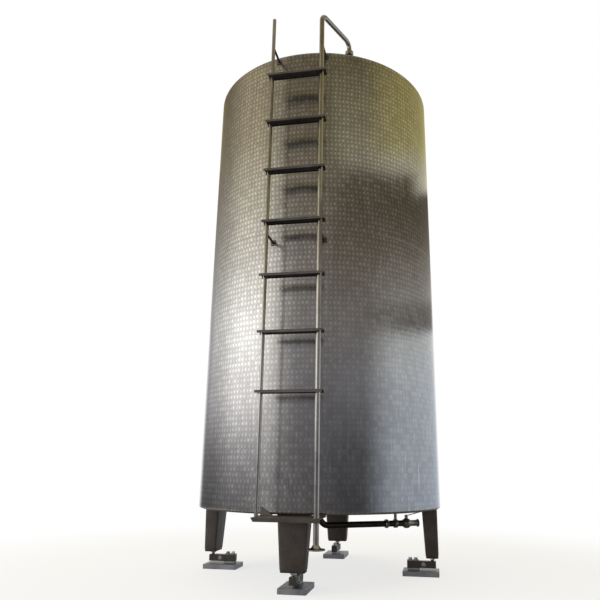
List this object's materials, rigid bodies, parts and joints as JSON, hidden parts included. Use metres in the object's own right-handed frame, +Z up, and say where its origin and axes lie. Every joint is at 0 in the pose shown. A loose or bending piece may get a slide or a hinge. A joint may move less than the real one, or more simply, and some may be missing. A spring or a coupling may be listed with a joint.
{
  "type": "bulk milk tank",
  "caption": "Upright insulated bulk milk tank on weigh feet, with ladder, wash pipe, hinged manhole lid, agitator and outlet valve, for cooling and keeping milk.",
  "frame": {"origin": "on the floor, under the middle of the whole object", "axes": "+Z up along the tank, -Y towards the ladder at the front, +X to the right seen from the ladder"},
  "size_m": [1.5, 1.6735, 3.3404],
  "materials": {
    "cladding": "spotted satin",
    "satin_steel": "satin",
    "tube_steel": "polished",
    "leg_steel": "satin",
    "load_cell": "satin",
    "fastener": "satin",
    "foam": "matte",
    "rubber": "matte",
    "casting": "satin"
  },
  "bodies": {
    "tank": {"agitator_motor": "casting", "agitator_mount": "satin_steel", "bottom_plate": "satin_steel", "cooling_jacket": "satin_steel", "foot_bracket": "satin_steel", "gearbox": "casting", "hinge_pin": "fastener", "inner_vessel": "satin_steel", "insulation": "foam", "left_stile": "tube_steel", "leg_front": "leg_steel", "leg_left": "leg_steel", "leg_rear": "leg_steel", "leg_right": "leg_steel", "manhole_neck": "satin_steel", "outer_shell": "cladding", "outlet_hanger": "satin_steel", "outlet_pipe": "tube_steel", "pipe_coupling": "fastener", "roof": "satin_steel", "spray_ball": "satin_steel", "standoff_lower_left": "satin_steel", "standoff_lower_right": "satin_steel", "standoff_upper_left": "satin_steel", "standoff_upper_right": "satin_steel", "tread_1": "satin_steel", "tread_2": "satin_steel", "tread_3": "satin_steel", "tread_4": "satin_steel", "tread_5": "satin_steel", "tread_6": "satin_steel", "tread_7": "satin_steel", "union_nut": "fastener", "valve_body": "satin_steel", "vent": "satin_steel", "wash_nozzle": "tube_steel", "wash_pipe": "tube_steel"},
    "manhole_cover": {"manhole_lid": "satin_steel", "lid_gasket": "rubber", "lid_handle": "fastener"},
    "agitator": {"agitator_shaft": "tube_steel", "impeller": "satin_steel"},
    "valve_rotor": {"valve_disc": "satin_steel", "valve_lever": "fastener"},
    "front_foot": {"base_plate_front": "leg_steel", "load_cell_front": "load_cell", "clamp_bolts_front": "fastener", "spindle_front": "fastener"},
    "right_foot": {"base_plate_right": "leg_steel", "load_cell_right": "load_cell", "clamp_bolts_right": "fastener", "spindle_right": "fastener"},
    "rear_foot": {"base_plate_rear": "leg_steel", "load_cell_rear": "load_cell", "clamp_bolts_rear": "fastener", "spindle_rear": "fastener"},
    "left_foot": {"base_plate_left": "leg_steel", "load_cell_left": "load_cell", "clamp_bolts_left": "fastener", "spindle_left": "fastener"}
  },
  "joints": [
    {"name": "manhole_hinge", "type": "hinge", "parent": "tank", "child": "manhole_cover", "pos_m": [0, -0.06575, 3.2259], "axis": [-1, 0, 0], "range_deg": [0, 100]},
    {"name": "agitator_spin", "type": "hinge", "parent": "tank", "child": "agitator", "pos_m": [0, 0.23675, 2], "axis": [0, 0, 1], "continuous": true},
    {"name": "valve_stem", "type": "hinge", "parent": "tank", "child": "valve_rotor", "pos_m": [0.52394, 0.38925, 0.263], "axis": [0, 0, 1], "range_deg": [0, 90]},
    {"name": "front_levelling", "type": "slide", "parent": "tank", "child": "front_foot", "axis": [0, 0, -1], "range_m": [0, 0.02]},
    {"name": "right_levelling", "type": "slide", "parent": "tank", "child": "right_foot", "axis": [0, 0, -1], "range_m": [0, 0.02]},
    {"name": "rear_levelling", "type": "slide", "parent": "tank", "child": "rear_foot", "axis": [0, 0, -1], "range_m": [0, 0.02]},
    {"name": "left_levelling", "type": "slide", "parent": "tank", "child": "left_foot", "axis": [0, 0, -1], "range_m": [0, 0.02]}
  ]
}
